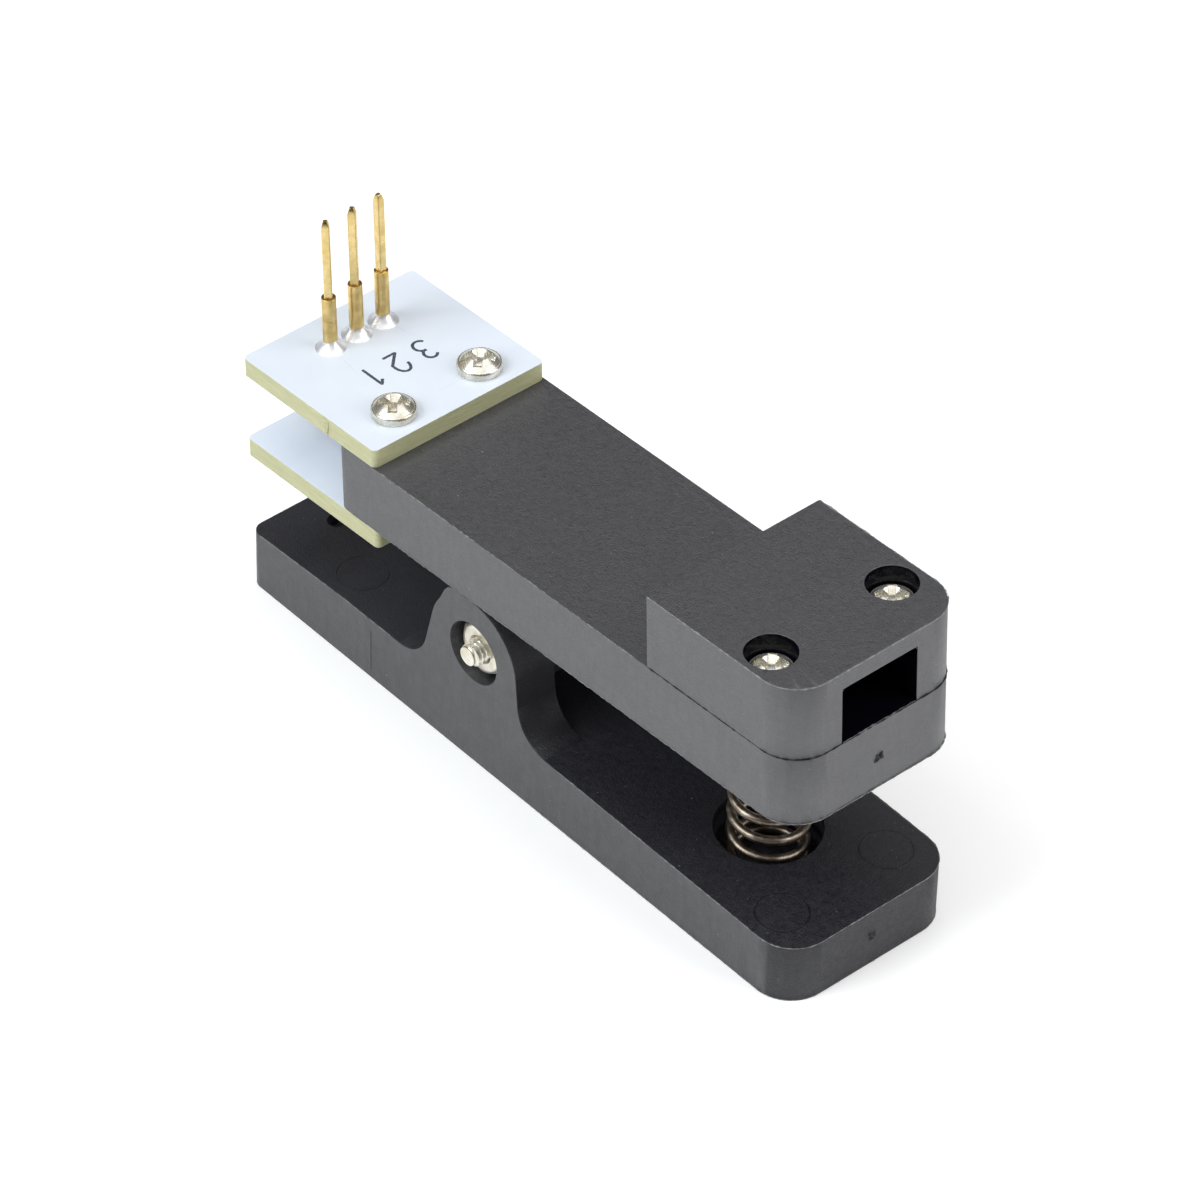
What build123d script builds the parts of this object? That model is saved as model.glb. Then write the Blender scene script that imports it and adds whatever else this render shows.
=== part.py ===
# Spring-loaded test clip with three probes on a 2.54 mm pitch.
# +X points along the clip to the handle end, +Z is up, and the far side is +Y.
# The origin lies on the lower arm's underside, in its middle plane, below the pivot.
import os
from math import cos, radians, sin, tan

from build123d import *

os.makedirs("parts", exist_ok=True)

# Width over both arms, the boards and the cover
body_width = 16.5

# Pivot, and the rest angle of the upper arm, handle end up
pivot_height = 10.6
rest_tilt = 2.8

# Lower arm: ends, thickness along it and corners
lower_jaw_reach = 26.4
lower_handle_reach = 35.1
jaw_tip_thickness = 5.2
jaw_level_thickness = 5.73
jaw_level_x = -15.2
handle_root_thickness = 5.6
handle_root_x = 8.4
handle_nose_thickness = 5.2
nose_corner_radius = 3.2
jaw_corner_radius = 1.1

# Ears of the lower arm, around the pivot
ear_radius = 4.8
ear_thickness = 3.7
ear_jaw_flank_angle = 13.5
ear_handle_flank_angle = 6.0
ear_fillet_radius = 3.2
stop_land_length = 2.8
stop_land_corner_radius = 1.5
stop_gap = 0.05
slot_floor_height = 5.5
slot_jaw_end_x = -8.9

# Upper arm, in its own frame: heights above the pivot, square to the arm
arm_underside = 4.9
arm_thickness = 5.95
upper_nose_setback = 0.05
arm_jaw_corner_radius = 1.2
lug_radius = 4.2
lug_side_gap = 0.2
lug_root_radius = 1.4

# Pivot screw and nut
pivot_screw_diameter = 2.0
pivot_clearance = 0.05
pivot_recess_diameter = 5.3
pivot_nut_across_flats = 4.0
pivot_nut_face_diameter = 3.75
pivot_nut_bevel_angle = 30.0
pivot_nut_thickness = 1.6
pivot_nut_depth = 0.65
pivot_head_diameter = 3.8
pivot_head_height = 1.5
pivot_head_depth = 1.25
pivot_end_reach = 0.6
pivot_tip_chamfer = 0.1
thread_clearance = 0.01

# Cable cover on the handle end of the upper arm
cover_length = 15.5
cover_height = 6.5
channel_width = 7.1
channel_height = 4.95
channel_corner_radius = 0.4

# Pan head screws of the boards and the cover
screw_diameter = 1.9
screw_hole_clearance = 0.05
screw_board_hole_clearance = 0.15
screw_head_diameter = 3.5
screw_head_height = 1.35
screw_head_crown = 0.75
screw_recess_width = 0.45
screw_recess_length = 2.1
screw_recess_depth = 0.7
screw_recess_turn = 45.0
screw_tip_chamfer = 0.3
hole_end_gap = 0.3

# Cover screws
cover_screw_setback = 5.05
cover_screw_spacing = 11.5
cover_screw_length = 8.0
cover_seat_height = 4.35
cover_counterbore_diameter = 3.9

# Circuit boards above and below the upper arm's jaw end
board_length = 15.5
board_thickness = 1.6
board_overlap = 4.7
board_corner_radius = 0.45
board_screw_setback = 2.65
board_screw_spacing = 8.3
board_screw_length = 4.0

# Probe row: pitch, place and the receptacle tubes
probe_pitch = 2.54
probe_count = 3
probe_edge_distance = 3.45
receptacle_diameter = 1.12
receptacle_bore = 0.92
receptacle_length = 17.5
receptacle_drop = 3.65
receptacle_hole_clearance = 0.03

# Square tail posts crimped into the receptacles
post_size = 0.64
post_rise = 11.7
post_depth = 1.5
post_tip_length = 0.55
post_tip_size = 0.34
post_turns = (48.0, 41.0, 4.0)

# Spring probes inside the receptacles
barrel_clearance = 0.03
barrel_wall = 0.1
barrel_length = 12.5
barrel_reach = 0.5
barrel_end_thickness = 0.3
barrel_lip_thickness = 0.25
plunger_clearance = 0.02
piston_length = 1.6
piston_gap = 0.05
plunger_diameter = 0.5
plunger_stub = 0.55
plunger_tip_length = 0.45
probe_stroke = 2.65
probe_spring_wire = 0.09
probe_spring_clearance = 0.02
probe_spring_turns = 6
probe_spring_sides = 4
probe_spring_end_gap = 0.02

# Solder cones round the receptacles on the top board
solder_radius = 1.24
solder_height = 0.8
solder_waist = 0.15
solder_clearance = 0.01

# Relief slot in the lower jaw, below the probe tips
relief_width = 1.7
relief_end_margin = 0.9
relief_depth = 1.2
relief_tip_gap = 1.0

# Main spring between the handles, in a round pocket in each arm
spring_diameter = 6.3
spring_wire = 0.7
spring_wire_sides = 6
spring_pitch = 1.8
spring_start_angle = 215.0
spring_setback = 11.4
spring_pocket_diameter = 8.2
lower_pocket_depth = 3.6
upper_pocket_depth = 3.6
spring_end_gap = 0.05

# Worked-out sizes
half_width = body_width / 2
arm_handle_reach = lower_handle_reach - upper_nose_setback
spring_x = lower_handle_reach - spring_setback
board_handle_edge = lower_jaw_reach - board_length
arm_jaw_reach = board_handle_edge + board_overlap
slot_width = body_width - 2 * ear_thickness
tilt = radians(rest_tilt)
arm_top = arm_underside + arm_thickness
board_top = arm_top + board_thickness
lower_board_underside = arm_underside - board_thickness
board_centre_x = -board_handle_edge - board_length / 2
board_screw_x = -board_handle_edge - board_screw_setback
probe_x = -board_handle_edge - board_length + probe_edge_distance
probe_ys = [(i - (probe_count - 1) / 2) * probe_pitch for i in range(probe_count)]
cover_screw_x = arm_handle_reach - cover_screw_setback
screw_hole_radius = screw_diameter / 2 + screw_hole_clearance
screw_pass_radius = screw_diameter / 2 + screw_board_hole_clearance
pivot_bore_radius = pivot_screw_diameter / 2 + pivot_clearance
pivot_nut_seat = half_width - pivot_nut_depth - pivot_nut_thickness
pivot_head_seat = half_width - pivot_head_depth - pivot_head_height

# Levels and radii of the probes, in the upper arm's frame
receptacle_bottom = lower_board_underside - receptacle_drop
receptacle_top = receptacle_bottom + receptacle_length
barrel_bottom = receptacle_bottom - barrel_reach
barrel_top = barrel_bottom + barrel_length
barrel_radius = receptacle_bore / 2 - barrel_clearance
barrel_bore_radius = barrel_radius - barrel_wall
piston_radius = barrel_bore_radius - plunger_clearance
lip_radius = plunger_diameter / 2 + plunger_clearance
piston_bottom = barrel_bottom + barrel_lip_thickness + piston_gap
piston_top = piston_bottom + piston_length
plunger_tip = barrel_bottom - plunger_stub - probe_stroke

# Frame of the upper arm: its levels run along the arm, its side plane is the middle plane
arm_frame = Plane(
    origin=(0, 0, pivot_height),
    x_dir=(cos(tilt), 0, sin(tilt)),
    z_dir=(-sin(tilt), 0, cos(tilt)),
)
arm_side = Plane(origin=arm_frame.origin, x_dir=arm_frame.x_dir, z_dir=(0, -1, 0))
lower_side = Plane.XZ


def save(piece, name):
    """Label a finished piece and write its STEP file."""
    piece.part.label = name
    export_step(piece.part, f"parts/{name}.step")


def corner(sketch, x, y):
    """The sketch's vertex nearest to a point."""
    return sketch.vertices().sort_by_distance((x, y, 0))[0]


# Lower arm: side outline with the ears, extruded over the full width
ear_centre = (0, pivot_height)


def ear_flank(angle, foot_height, side):
    """Tangent point on the ear's circle and the foot of its leaning flank."""
    lean = radians(angle)
    top = (side * ear_radius * cos(lean), pivot_height + ear_radius * sin(lean))
    foot_x = top[0] + side * (top[1] - foot_height) * tan(lean)
    return top, (foot_x, foot_height)


jaw_flank_top, jaw_flank_foot = ear_flank(ear_jaw_flank_angle, jaw_level_thickness, -1)
handle_flank_top, handle_flank_foot = ear_flank(ear_handle_flank_angle, handle_root_thickness, 1)
stop_height = arm_underside - stop_gap
stop_plane_x = (cos(tilt), sin(tilt))
stop_plane_z = (-sin(tilt), cos(tilt))
stop_middle = (stop_height * stop_plane_z[0], pivot_height + stop_height * stop_plane_z[1])
stop_corner = (
    stop_middle[0] - stop_land_length * stop_plane_x[0],
    stop_middle[1] - stop_land_length * stop_plane_x[1],
)

with BuildPart() as lower_arm:
    with BuildSketch(lower_side) as lower_outline:
        with BuildLine():
            Polyline(
                (-lower_jaw_reach, 0),
                (lower_handle_reach, 0),
                (lower_handle_reach, handle_nose_thickness),
                (handle_root_x, handle_root_thickness),
                handle_flank_foot,
                handle_flank_top,
                ear_centre,
                jaw_flank_top,
                jaw_flank_foot,
                (jaw_level_x, jaw_level_thickness),
                (-lower_jaw_reach, jaw_tip_thickness),
                close=True,
            )
        make_face()
        with Locations(ear_centre):
            Circle(ear_radius)
        with BuildLine():
            Polyline(ear_centre, stop_middle, stop_corner, jaw_flank_top, close=True)
        make_face()
        fillet(corner(lower_outline, *stop_corner), stop_land_corner_radius)
        fillet(corner(lower_outline, *jaw_flank_foot), ear_fillet_radius)
        fillet(corner(lower_outline, *handle_flank_foot), ear_fillet_radius)
    extrude(amount=half_width, both=True)
    upright = lower_arm.edges().filter_by(Axis.Z)
    fillet(upright.group_by(Axis.X)[-1], nose_corner_radius)
    fillet(upright.group_by(Axis.X)[0], jaw_corner_radius)
    # Slot between the ears
    with BuildSketch(Plane.XY.offset(slot_floor_height)):
        with Locations(((slot_jaw_end_x + handle_root_x) / 2, 0)):
            Rectangle(handle_root_x - slot_jaw_end_x, slot_width)
    extrude(amount=2 * pivot_height, mode=Mode.SUBTRACT)
    # Pivot hole, with a round recess for the nut and one for the screw head
    with BuildSketch(Plane(origin=(0, -half_width, pivot_height), x_dir=(1, 0, 0), z_dir=(0, 1, 0))):
        Circle(pivot_bore_radius)
    extrude(amount=body_width, mode=Mode.SUBTRACT)
    with BuildSketch(Plane(origin=(0, -pivot_nut_seat, pivot_height), x_dir=(1, 0, 0), z_dir=(0, -1, 0))):
        Circle(pivot_recess_diameter / 2)
    extrude(amount=half_width, mode=Mode.SUBTRACT)
    with BuildSketch(Plane(origin=(0, pivot_head_seat, pivot_height), x_dir=(1, 0, 0), z_dir=(0, 1, 0))):
        Circle(pivot_recess_diameter / 2)
    extrude(amount=half_width, mode=Mode.SUBTRACT)
    # Spring pocket, from above
    pocket_share = (spring_x - handle_root_x) / (lower_handle_reach - handle_root_x)
    pocket_rim = handle_root_thickness + pocket_share * (handle_nose_thickness - handle_root_thickness)
    lower_pocket_floor = pocket_rim - lower_pocket_depth
    with BuildSketch(Plane.XY.offset(lower_pocket_floor)):
        with Locations((spring_x, 0)):
            Circle(spring_pocket_diameter / 2)
    extrude(amount=pivot_height, mode=Mode.SUBTRACT)
    # Relief slot below the probe tips, clear of them at full reach
    probe_floor_x = probe_x * cos(tilt) - plunger_tip * sin(tilt)
    jaw_face_height = jaw_tip_thickness + (lower_jaw_reach + probe_floor_x) * (
        jaw_level_thickness - jaw_tip_thickness
    ) / (lower_jaw_reach + jaw_level_x)
    tip_height = pivot_height + probe_x * sin(tilt) + plunger_tip * cos(tilt)
    relief_floor = min(jaw_face_height - relief_depth, tip_height - relief_tip_gap)
    with BuildSketch(Plane.XY.offset(relief_floor)):
        with Locations((probe_floor_x, 0)):
            SlotOverall(
                (probe_count - 1) * probe_pitch + 2 * relief_end_margin,
                relief_width,
                rotation=90,
            )
    extrude(amount=2 * (jaw_face_height - relief_floor), mode=Mode.SUBTRACT)
save(lower_arm, "lower_arm")


# Upper arm: a straight bar with a lug between the ears
lug_width = slot_width - 2 * lug_side_gap

with BuildPart() as upper_arm:
    with BuildSketch(arm_frame.offset(arm_underside)):
        with Locations(((arm_handle_reach - arm_jaw_reach) / 2, 0)):
            Rectangle(arm_handle_reach + arm_jaw_reach, body_width)
    extrude(amount=arm_thickness)
    arm_upright = upper_arm.edges().filter_by(Axis((0, 0, 0), arm_frame.z_dir))
    fillet(arm_upright.sort_by(Axis.X)[-2:], nose_corner_radius)
    fillet(arm_upright.sort_by(Axis.X)[:2], arm_jaw_corner_radius)
    with BuildSketch(arm_side) as lug_outline:
        Circle(lug_radius)
        with Locations((0, arm_underside / 2)):
            Rectangle(2 * lug_radius, arm_underside)
        with Locations((0, arm_underside + lug_root_radius / 2)):
            Rectangle(2 * (lug_radius + 2 * lug_root_radius), lug_root_radius)
        fillet(corner(lug_outline, -lug_radius, arm_underside), lug_root_radius)
        fillet(corner(lug_outline, lug_radius, arm_underside), lug_root_radius)
    extrude(amount=lug_width / 2, both=True)
    with BuildSketch(arm_side):
        Circle(pivot_bore_radius)
    extrude(amount=body_width, both=True, mode=Mode.SUBTRACT)
    # Spring pocket, from below
    upper_pocket_x = (spring_x + arm_underside * sin(tilt)) / cos(tilt)
    with BuildSketch(arm_frame.offset(arm_underside)):
        with Locations((upper_pocket_x, 0)):
            Circle(spring_pocket_diameter / 2)
    extrude(amount=upper_pocket_depth, mode=Mode.SUBTRACT)
    # Screw holes: two from above and two from below for the boards, two for the cover
    board_hole_depth = board_screw_length - board_thickness + hole_end_gap
    cover_hole_depth = cover_screw_length - cover_seat_height + hole_end_gap
    for level, depth in ((arm_top, -board_hole_depth), (arm_underside, board_hole_depth)):
        with BuildSketch(arm_frame.offset(level)):
            with Locations((board_screw_x, 0)):
                with GridLocations(0, board_screw_spacing, 1, 2):
                    Circle(screw_hole_radius)
        extrude(amount=depth, mode=Mode.SUBTRACT)
    with BuildSketch(arm_frame.offset(arm_top)):
        with Locations((cover_screw_x, 0)):
            with GridLocations(0, cover_screw_spacing, 1, 2):
                Circle(screw_hole_radius)
    extrude(amount=-cover_hole_depth, mode=Mode.SUBTRACT)
save(upper_arm, "upper_arm")


# Cable cover: a block over the arm with an open channel along its underside
with BuildPart() as cable_cover:
    with BuildSketch(arm_frame.offset(arm_top)):
        with Locations((arm_handle_reach - cover_length / 2, 0)):
            Rectangle(cover_length, body_width)
    extrude(amount=cover_height)
    cover_upright = cable_cover.edges().filter_by(Axis((0, 0, 0), arm_frame.z_dir))
    fillet(cover_upright.sort_by(Axis.X)[-2:], nose_corner_radius)
    channel_start = arm_frame.from_local_coords(Vector(arm_handle_reach - cover_length, 0, arm_top))
    with BuildSketch(Plane(origin=channel_start, x_dir=(0, 1, 0), z_dir=arm_frame.x_dir)) as channel:
        with Locations((0, channel_height / 2)):
            Rectangle(channel_width, channel_height)
        fillet(channel.vertices().group_by(Axis.Y)[-1], channel_corner_radius)
    extrude(amount=cover_length, mode=Mode.SUBTRACT)
    with Locations(arm_frame.offset(arm_top + cover_height)):
        with Locations((cover_screw_x, 0)):
            with GridLocations(0, cover_screw_spacing, 1, 2):
                CounterBoreHole(
                    radius=screw_pass_radius,
                    counter_bore_radius=cover_counterbore_diameter / 2,
                    counter_bore_depth=cover_height - cover_seat_height,
                )
save(cable_cover, "cable_cover")


def make_board(level):
    """A circuit board whose underside lies at a level of the arm's frame."""
    with BuildPart() as board:
        with BuildSketch(arm_frame.offset(level)):
            with Locations((board_centre_x, 0)):
                RectangleRounded(board_length, body_width, board_corner_radius)
            with Locations((board_screw_x, 0)):
                with GridLocations(0, board_screw_spacing, 1, 2):
                    Circle(screw_pass_radius, mode=Mode.SUBTRACT)
            with Locations([(probe_x, y) for y in probe_ys]):
                Circle(receptacle_diameter / 2 + receptacle_hole_clearance, mode=Mode.SUBTRACT)
        extrude(amount=board_thickness)
    return board


save(make_board(arm_top), "top_board")
save(make_board(lower_board_underside), "lower_board")


def make_screw(seat, radius, length, tip_chamfer, head_radius, head_height):
    """A pan head screw seated on a plane, with its head on the plane's outer side."""
    rim = head_height - screw_head_crown
    with BuildPart() as screw:
        with BuildSketch(Plane(origin=seat.origin, x_dir=seat.x_dir, z_dir=-seat.y_dir)):
            with BuildLine():
                crown = TangentArc((0, head_height), (head_radius, rim), tangent=(1, 0))
                Polyline(
                    crown @ 1,
                    (head_radius, 0),
                    (radius, 0),
                    (radius, tip_chamfer - length),
                    (radius - tip_chamfer, -length),
                    (0, -length),
                    crown @ 0,
                )
            make_face()
        revolve(axis=Axis(seat.origin, seat.z_dir))
        with BuildSketch(seat.offset(head_height)):
            Rectangle(screw_recess_length, screw_recess_width, rotation=screw_recess_turn)
            Rectangle(screw_recess_width, screw_recess_length, rotation=screw_recess_turn)
        extrude(amount=-screw_recess_depth, mode=Mode.SUBTRACT)
    return screw


def make_screws(level, x, spacing, length, up):
    """Two pan head screws seated at a level, with heads up (1) or down (-1)."""
    with BuildPart() as screws:
        for y in (-spacing / 2, spacing / 2):
            seat_centre = arm_frame.from_local_coords(Vector(x, y, level))
            seat = Plane(origin=seat_centre, x_dir=arm_frame.x_dir, z_dir=arm_frame.z_dir * up)
            screw = make_screw(
                seat,
                screw_diameter / 2,
                length,
                screw_tip_chamfer,
                screw_head_diameter / 2,
                screw_head_height,
            )
            add(screw.part)
    return screws


save(make_screws(board_top, board_screw_x, board_screw_spacing, board_screw_length, 1), "board_screws_top")
save(
    make_screws(lower_board_underside, board_screw_x, board_screw_spacing, board_screw_length, -1),
    "board_screws_bottom",
)
save(
    make_screws(arm_top + cover_seat_height, cover_screw_x, cover_screw_spacing, cover_screw_length, 1),
    "cover_screws",
)


# Pivot screw through both ears and the lug, with its head on the far side
pivot_screw = make_screw(
    Plane(origin=(0, pivot_head_seat, pivot_height), x_dir=(1, 0, 0), z_dir=(0, 1, 0)),
    pivot_screw_diameter / 2,
    pivot_head_seat + half_width + pivot_end_reach,
    pivot_tip_chamfer,
    pivot_head_diameter / 2,
    pivot_head_height,
)
save(pivot_screw, "pivot_screw")

# Hexagon nut in the near ear's recess, its corners bevelled on both faces
nut_seat_centre = (0, -pivot_nut_seat, pivot_height)
nut_face_radius = pivot_nut_face_diameter / 2
nut_half_thickness = pivot_nut_thickness / 2
nut_bevel_peak = nut_face_radius + nut_half_thickness / tan(radians(pivot_nut_bevel_angle))

with BuildPart() as pivot_nut:
    with BuildSketch(Plane(origin=nut_seat_centre, x_dir=(1, 0, 0), z_dir=(0, -1, 0))):
        RegularPolygon(pivot_nut_across_flats / 2, 6, major_radius=False)
        Circle(pivot_screw_diameter / 2 + thread_clearance, mode=Mode.SUBTRACT)
    extrude(amount=pivot_nut_thickness)
    with BuildSketch(Plane(origin=nut_seat_centre, x_dir=(1, 0, 0), z_dir=(0, 0, 1))):
        with BuildLine():
            Polyline(
                (0, 0),
                (nut_face_radius, 0),
                (nut_bevel_peak, -nut_half_thickness),
                (nut_face_radius, -pivot_nut_thickness),
                (0, -pivot_nut_thickness),
                close=True,
            )
        make_face()
    revolve(axis=Axis(nut_seat_centre, (0, 1, 0)), mode=Mode.INTERSECT)
save(pivot_nut, "pivot_nut")


# Main spring: a wire helix with both ends ground flat
upper_pocket_roof = arm_underside + upper_pocket_depth
roof_height = pivot_height + upper_pocket_roof / cos(tilt) + spring_x * tan(tilt)
spring_floor = lower_pocket_floor + spring_end_gap
spring_roof = roof_height - spring_diameter / 2 * tan(tilt) - spring_end_gap
spring_coil_radius = (spring_diameter - spring_wire) / 2


def make_coil(base, wire, sides, coil_radius, pitch, height):
    """A left-hand wire coil that rises from a base plane. The wire has few sides, to spare faces."""
    with BuildPart() as coil:
        with BuildLine(base) as path:
            Helix(pitch=pitch, height=height, radius=coil_radius, direction=base.z_dir, lefthand=True)
        with BuildSketch(Plane(origin=path.line @ 0, z_dir=path.line % 0)):
            RegularPolygon(wire / 2, sides)
        sweep(is_frenet=True)
    return coil


spring_start = radians(spring_start_angle)
coil_base = Plane(
    origin=(spring_x, 0, spring_floor - spring_wire / 2),
    x_dir=(cos(spring_start), sin(spring_start), 0),
    z_dir=(0, 0, 1),
)
coil_height = spring_roof - spring_floor + spring_wire
full_coil = make_coil(
    coil_base, spring_wire, spring_wire_sides, spring_coil_radius, spring_pitch, coil_height
)

with BuildPart() as main_spring:
    add(full_coil.part)
    with BuildSketch(Plane.XY.offset(spring_floor)):
        with Locations((spring_x, 0)):
            Circle(spring_diameter)
    extrude(amount=spring_roof - spring_floor, mode=Mode.INTERSECT)
save(main_spring, "main_spring")


# Probes: receptacle, tail post, barrel, spring and plunger, one of each per position
def probe_side(y):
    """Plane through a probe's axis: local x is the radius, local y runs up the axis."""
    origin = arm_frame.from_local_coords(Vector(probe_x, y, 0))
    return Plane(origin=origin, x_dir=arm_frame.x_dir, z_dir=(0, -1, 0))


def revolve_profile(side, points):
    """Turn a closed outline of (radius, height) points about the probe's axis."""
    with BuildPart() as turned:
        with BuildSketch(side):
            with BuildLine():
                Polyline(*points, close=True)
            make_face()
        revolve(axis=Axis(side.origin, arm_frame.z_dir))
    return turned


def make_receptacle(side):
    outer = receptacle_diameter / 2
    inner = receptacle_bore / 2
    return revolve_profile(
        side,
        [
            (inner, receptacle_bottom),
            (outer, receptacle_bottom),
            (outer, receptacle_top),
            (inner, receptacle_top),
        ],
    )


def make_barrel(side):
    roof = barrel_top - barrel_end_thickness
    lip_top = barrel_bottom + barrel_lip_thickness
    return revolve_profile(
        side,
        [
            (lip_radius, barrel_bottom),
            (barrel_radius, barrel_bottom),
            (barrel_radius, barrel_top),
            (0, barrel_top),
            (0, roof),
            (barrel_bore_radius, roof),
            (barrel_bore_radius, lip_top),
            (lip_radius, lip_top),
        ],
    )


def make_plunger(side):
    shaft = plunger_diameter / 2
    return revolve_profile(
        side,
        [
            (0, plunger_tip),
            (shaft, plunger_tip + plunger_tip_length),
            (shaft, piston_bottom),
            (piston_radius, piston_bottom),
            (piston_radius, piston_top),
            (0, piston_top),
        ],
    )


def make_post(y, turn):
    """A square wire with a tapered tip, turned about its own axis."""
    start = receptacle_top - post_depth
    shoulder = board_top + post_rise - post_tip_length
    with BuildPart() as post:
        with BuildSketch(arm_frame.offset(start)):
            with Locations((probe_x, y)):
                Rectangle(post_size, post_size, rotation=turn)
        extrude(amount=shoulder - start)
        with BuildSketch(arm_frame.offset(shoulder)):
            with Locations((probe_x, y)):
                Rectangle(post_size, post_size, rotation=turn)
        with BuildSketch(arm_frame.offset(board_top + post_rise)):
            with Locations((probe_x, y)):
                Rectangle(post_tip_size, post_tip_size, rotation=turn)
        loft()
    return post


def make_probe_spring(y):
    bottom = piston_top + probe_spring_end_gap
    top = barrel_top - barrel_end_thickness - probe_spring_end_gap
    wire = probe_spring_wire
    coil_radius = barrel_bore_radius - probe_spring_clearance - wire / 2
    height = top - bottom - wire
    base = arm_frame.from_local_coords(Vector(probe_x, y, bottom + wire / 2))
    base_plane = Plane(origin=base, x_dir=arm_frame.x_dir, z_dir=arm_frame.z_dir)
    return make_coil(
        base_plane, wire, probe_spring_sides, coil_radius, height / probe_spring_turns, height
    )


for index, y in enumerate(probe_ys):
    number = index + 1
    side = probe_side(y)
    save(make_receptacle(side), f"receptacle_{number}")
    save(make_post(y, post_turns[index % len(post_turns)]), f"tail_post_{number}")
    save(make_barrel(side), f"probe_barrel_{number}")
    save(make_plunger(side), f"probe_plunger_{number}")
    save(make_probe_spring(y), f"probe_spring_{number}")


# Solder cones: a skirt round each receptacle, narrower at its waist than a straight cone
with BuildPart() as solder_joints:
    for y in probe_ys:
        side = probe_side(y)
        inner = receptacle_diameter / 2 + solder_clearance
        waist = (inner + solder_radius) / 2 - solder_waist
        with BuildSketch(side):
            with BuildLine():
                Polyline(
                    (inner, board_top),
                    (solder_radius, board_top),
                    (waist, board_top + solder_height / 2 - solder_waist),
                    (inner, board_top + solder_height),
                    close=True,
                )
            make_face()
        revolve(axis=Axis(side.origin, arm_frame.z_dir))
save(solder_joints, "solder_joints")
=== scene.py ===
from math import cos, pi, radians, sin

import bmesh
import bpy
import numpy as np
from mathutils import Matrix, Vector


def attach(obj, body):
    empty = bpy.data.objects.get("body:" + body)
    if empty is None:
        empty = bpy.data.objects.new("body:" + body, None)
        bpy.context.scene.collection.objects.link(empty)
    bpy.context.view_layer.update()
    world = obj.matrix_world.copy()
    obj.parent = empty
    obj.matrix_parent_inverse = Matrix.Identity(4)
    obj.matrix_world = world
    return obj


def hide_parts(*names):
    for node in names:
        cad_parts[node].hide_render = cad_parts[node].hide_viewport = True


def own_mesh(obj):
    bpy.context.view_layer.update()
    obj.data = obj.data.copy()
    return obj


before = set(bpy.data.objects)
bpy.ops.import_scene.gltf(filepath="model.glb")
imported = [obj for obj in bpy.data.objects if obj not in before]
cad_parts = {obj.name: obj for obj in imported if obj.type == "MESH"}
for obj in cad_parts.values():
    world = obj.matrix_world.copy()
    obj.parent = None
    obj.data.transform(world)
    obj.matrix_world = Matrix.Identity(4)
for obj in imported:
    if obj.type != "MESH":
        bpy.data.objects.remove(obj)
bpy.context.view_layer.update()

# Lower arm: the base of the clip, moulded in black glass-filled nylon in one piece with the two ears.
# Its faces keep the fine eroded grain of the mould, and stray flakes of trimmed plastic lie on them.
# The mould's edges are barely broken, so they catch a thin line of light.
lower_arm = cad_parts["lower_arm"]
arm_edge = 0.04


class Shade:
    """One output of a shader node. Python's operators on it add Math nodes."""

    def __init__(self, finish, socket):
        self.finish = finish
        self.socket = socket

    def math(self, operation, first, second):
        return self.finish.node("ShaderNodeMath", {"operation": operation}, {0: first, 1: second})

    def __add__(self, other):
        return self.math("ADD", self, other)

    def __radd__(self, other):
        return self.math("ADD", other, self)

    def __sub__(self, other):
        return self.math("SUBTRACT", self, other)

    def __rsub__(self, other):
        return self.math("SUBTRACT", other, self)

    def __mul__(self, other):
        return self.math("MULTIPLY", self, other)

    def __rmul__(self, other):
        return self.math("MULTIPLY", other, self)

    def __truediv__(self, other):
        return self.math("DIVIDE", self, other)

    def __abs__(self):
        return self.math("ABSOLUTE", self, 0.0)

    def larger(self, other):
        return self.math("MAXIMUM", self, other)


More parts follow.
